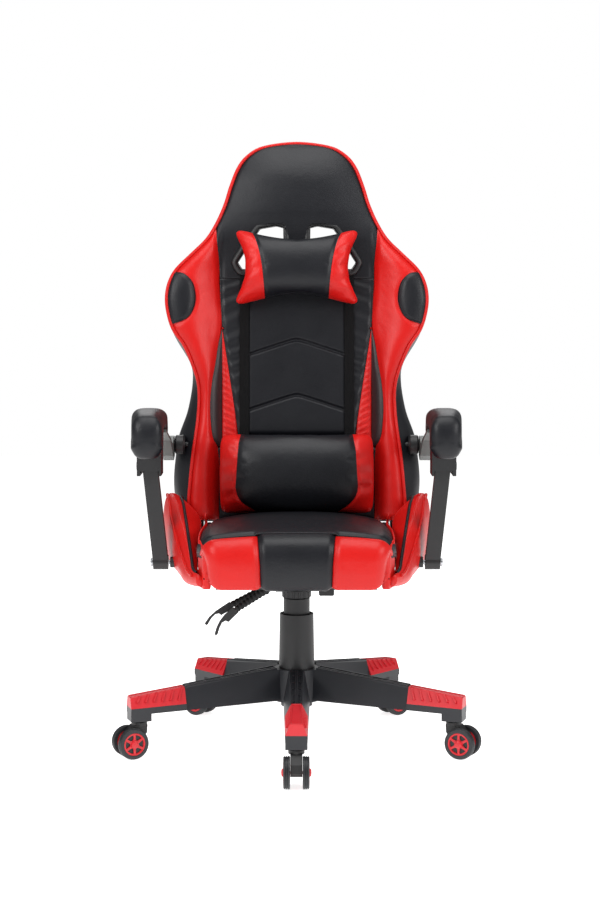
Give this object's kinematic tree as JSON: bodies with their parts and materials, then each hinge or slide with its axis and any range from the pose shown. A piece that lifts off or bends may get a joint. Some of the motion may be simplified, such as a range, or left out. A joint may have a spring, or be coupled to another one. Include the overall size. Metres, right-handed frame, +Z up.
{
  "type": "gaming chair",
  "caption": "Racing-style swivel chair with side bolsters, neck and lumbar pillows, linked padded armrests and a star base on twin-wheel casters.",
  "frame": {"origin": "on the floor on the axis of the gas-lift column", "axes": "+Z up, the chair faces -Y, +X to the right as seen from in front"},
  "size_m": [0.737, 0.7583, 1.2386],
  "materials": {
    "base_nylon": "satin",
    "red_plastic": "satin",
    "black_steel": "satin",
    "bright_steel": "satin",
    "black_plastic": "matte",
    "caster_tyre": "satin",
    "upholstery": "satin",
    "pu_black": "satin",
    "pu_red": "satin",
    "elastic": "matte",
    "rubber": "matte",
    "grey_paint": "satin"
  },
  "bodies": {
    "base": {"base_star": "base_nylon", "leg_pads": "red_plastic", "column_tube": "black_steel", "guide_bush": "black_plastic", "thrust_bearing": "bright_steel", "cover_lower": "black_plastic"},
    "middle_cover": {"cover_middle": "black_plastic"},
    "swivel_rod": {"piston_rod": "bright_steel"},
    "lift": {"gas_cylinder": "bright_steel", "cover_upper": "black_plastic", "mechanism_housing": "black_steel", "tilt_pin": "bright_steel", "tilt_spring": "bright_steel"},
    "button": {"release_button": "bright_steel"},
    "knob": {"tension_knob": "black_plastic"},
    "lever_height": {"height_lever": "black_plastic"},
    "lever_recline": {"recline_lever": "black_plastic"},
    "seat": {"seat_plate": "black_steel", "tilt_buffer": "rubber", "seat_frame": "black_steel", "seat_fasteners": "bright_steel", "seat_cushion": "upholstery", "seat_wing_left": "upholstery", "seat_wing_right": "upholstery"},
    "backrest": {"back_frame": "black_steel", "back_cushion": "upholstery", "back_cover": "upholstery", "back_eyelets": "black_plastic", "back_straps": "elastic"},
    "pillow_head": {"head_pillow": "upholstery"},
    "pillow_lumbar": {"lumbar_pillow": "upholstery"},
    "arm_post_left": {"arm_post_left": "black_plastic"},
    "arm_left": {"arm_clevis_left": "black_plastic", "arm_pad_left": "upholstery", "arm_bracket_left": "grey_paint"},
    "arm_post_right": {"arm_post_right": "black_plastic"},
    "arm_right": {"arm_clevis_right": "black_plastic", "arm_pad_right": "upholstery", "arm_bracket_right": "grey_paint"},
    "caster_1": {"caster_1_fork": "black_plastic", "caster_1_pins": "bright_steel"},
    "caster_1_left": {"caster_1_wheel_left": "caster_tyre"},
    "caster_1_right": {"caster_1_wheel_right": "caster_tyre"},
    "caster_2": {"caster_2_fork": "black_plastic", "caster_2_pins": "bright_steel"},
    "caster_2_left": {"caster_2_wheel_left": "caster_tyre"},
    "caster_2_right": {"caster_2_wheel_right": "caster_tyre"},
    "caster_3": {"caster_3_fork": "black_plastic", "caster_3_pins": "bright_steel"},
    "caster_3_left": {"caster_3_wheel_left": "caster_tyre"},
    "caster_3_right": {"caster_3_wheel_right": "caster_tyre"},
    "caster_4": {"caster_4_fork": "black_plastic", "caster_4_pins": "bright_steel"},
    "caster_4_left": {"caster_4_wheel_left": "caster_tyre"},
    "caster_4_right": {"caster_4_wheel_right": "caster_tyre"},
    "caster_5": {"caster_5_fork": "black_plastic", "caster_5_pins": "bright_steel"},
    "caster_5_left": {"caster_5_wheel_left": "caster_tyre"},
    "caster_5_right": {"caster_5_wheel_right": "caster_tyre"}
  },
  "joints": [
    {"name": "seat_swivel", "type": "hinge", "parent": "base", "child": "swivel_rod", "pos_m": [0, 0, 0.097], "axis": [0, 0, 1], "continuous": true},
    {"name": "gas_lift", "type": "slide", "parent": "swivel_rod", "child": "lift", "axis": [0, 0, 1], "range_m": [0, 0.08]},
    {"name": "middle_cover_slide", "type": "slide", "parent": "base", "child": "middle_cover", "axis": [0, 0, 1], "range_m": [0, 0.04]},
    {"name": "seat_tilt", "type": "hinge", "parent": "lift", "child": "seat", "pos_m": [0, -0.055, 0.34], "axis": [-1, 0, 0], "range_deg": [0, 10], "stiffness_Nm_per_rad": 90, "springref_deg": -28.65},
    {"name": "back_recline", "type": "hinge", "parent": "seat", "child": "backrest", "pos_m": [0, 0.215, 0.4], "axis": [-1, 0, 0], "range_deg": [0, 45]},
    {"name": "height_lever_pull", "type": "hinge", "parent": "lift", "child": "lever_height", "pos_m": [-0.036, 0, 0.332], "axis": [0, 1, 0], "range_deg": [0, 5], "stiffness_Nm_per_rad": 1.5, "springref_deg": -11.46},
    {"name": "button_press", "type": "slide", "parent": "lift", "child": "button", "axis": [0, 0, -1], "range_m": [0, 0.0034], "stiffness_N_per_m": 300, "springref_m": -0.002},
    {"name": "recline_lever_pull", "type": "hinge", "parent": "lift", "child": "lever_recline", "pos_m": [-0.036, -0.035, 0.332], "axis": [0, 1, 0], "range_deg": [0, 8], "stiffness_Nm_per_rad": 1.5, "springref_deg": -11.46},
    {"name": "tension_knob_turn", "type": "hinge", "parent": "lift", "child": "knob", "pos_m": [0, -0.105, 0.33], "axis": [0, 0, 1], "continuous": true},
    {"name": "head_pillow_slide", "type": "slide", "parent": "backrest", "child": "pillow_head", "axis": [0, 0.1564, 0.9877], "range_m": [0, 0.03]},
    {"name": "lumbar_pillow_slide", "type": "slide", "parent": "backrest", "child": "pillow_lumbar", "axis": [0, 0.1564, 0.9877], "range_m": [0, 0.1]},
    {"name": "arm_post_left_swing", "type": "hinge", "parent": "seat", "child": "arm_post_left", "pos_m": [-0.273, -0.03, 0.38], "axis": [-1, 0, 0], "range_deg": [0, 45]},
    {"name": "arm_left_level", "type": "hinge", "parent": "arm_post_left", "child": "arm_left", "pos_m": [-0.292, -0.045, 0.576], "axis": [-1, 0, 0], "range_deg": [-45, 0]},
    {"name": "arm_post_right_swing", "type": "hinge", "parent": "seat", "child": "arm_post_right", "pos_m": [0.273, -0.03, 0.38], "axis": [-1, 0, 0], "range_deg": [0, 45]},
    {"name": "arm_right_level", "type": "hinge", "parent": "arm_post_right", "child": "arm_right", "pos_m": [0.292, -0.045, 0.576], "axis": [-1, 0, 0], "range_deg": [-45, 0]},
    {"name": "caster_1_swivel", "type": "hinge", "parent": "base", "child": "caster_1", "pos_m": [0, -0.329, 0.08], "axis": [0, 0, 1], "continuous": true},
    {"name": "caster_1_left_roll", "type": "hinge", "parent": "caster_1", "child": "caster_1_left", "pos_m": [0, -0.349, 0.031], "axis": [-1, 0, 0], "continuous": true},
    {"name": "caster_1_right_roll", "type": "hinge", "parent": "caster_1", "child": "caster_1_right", "pos_m": [0, -0.349, 0.031], "axis": [-1, 0, 0], "continuous": true},
    {"name": "caster_2_swivel", "type": "hinge", "parent": "base", "child": "caster_2", "pos_m": [0.3129, -0.10167, 0.08], "axis": [0, 0, 1], "continuous": true},
    {"name": "caster_2_left_roll", "type": "hinge", "parent": "caster_2", "child": "caster_2_left", "pos_m": [0.33072, -0.11075, 0.031], "axis": [-0.454, -0.891, 0], "continuous": true},
    {"name": "caster_2_right_roll", "type": "hinge", "parent": "caster_2", "child": "caster_2_right", "pos_m": [0.33072, -0.11075, 0.031], "axis": [-0.454, -0.891, 0], "continuous": true},
    {"name": "caster_3_swivel", "type": "hinge", "parent": "base", "child": "caster_3", "pos_m": [0.19338, 0.26617, 0.08], "axis": [0, 0, 1], "continuous": true},
    {"name": "caster_3_left_roll", "type": "hinge", "parent": "caster_3", "child": "caster_3_left", "pos_m": [0.20976, 0.27764, 0.031], "axis": [0.5736, -0.8192, 0], "continuous": true},
    {"name": "caster_3_right_roll", "type": "hinge", "parent": "caster_3", "child": "caster_3_right", "pos_m": [0.20976, 0.27764, 0.031], "axis": [0.5736, -0.8192, 0], "continuous": true},
    {"name": "caster_4_swivel", "type": "hinge", "parent": "base", "child": "caster_4", "pos_m": [-0.19338, 0.26617, 0.08], "axis": [0, 0, 1], "continuous": true},
    {"name": "caster_4_left_roll", "type": "hinge", "parent": "caster_4", "child": "caster_4_left", "pos_m": [-0.20976, 0.27764, 0.031], "axis": [0.5736, 0.8192, 0], "continuous": true},
    {"name": "caster_4_right_roll", "type": "hinge", "parent": "caster_4", "child": "caster_4_right", "pos_m": [-0.20976, 0.27764, 0.031], "axis": [0.5736, 0.8192, 0], "continuous": true},
    {"name": "caster_5_swivel", "type": "hinge", "parent": "base", "child": "caster_5", "pos_m": [-0.3129, -0.10167, 0.08], "axis": [0, 0, 1], "continuous": true},
    {"name": "caster_5_left_roll", "type": "hinge", "parent": "caster_5", "child": "caster_5_left", "pos_m": [-0.33072, -0.11075, 0.031], "axis": [-0.454, 0.891, 0], "continuous": true},
    {"name": "caster_5_right_roll", "type": "hinge", "parent": "caster_5", "child": "caster_5_right", "pos_m": [-0.33072, -0.11075, 0.031], "axis": [-0.454, 0.891, 0], "continuous": true}
  ],
  "couplings": [
    {"joint": "middle_cover_slide", "follows": "gas_lift", "ratio": 0.5},
    {"joint": "button_press", "follows": "height_lever_pull", "m_per_rad": 0.038},
    {"joint": "arm_post_left_swing", "follows": "back_recline", "ratio": 1},
    {"joint": "arm_left_level", "follows": "back_recline", "ratio": -1},
    {"joint": "arm_post_right_swing", "follows": "back_recline", "ratio": 1},
    {"joint": "arm_right_level", "follows": "back_recline", "ratio": -1}
  ]
}
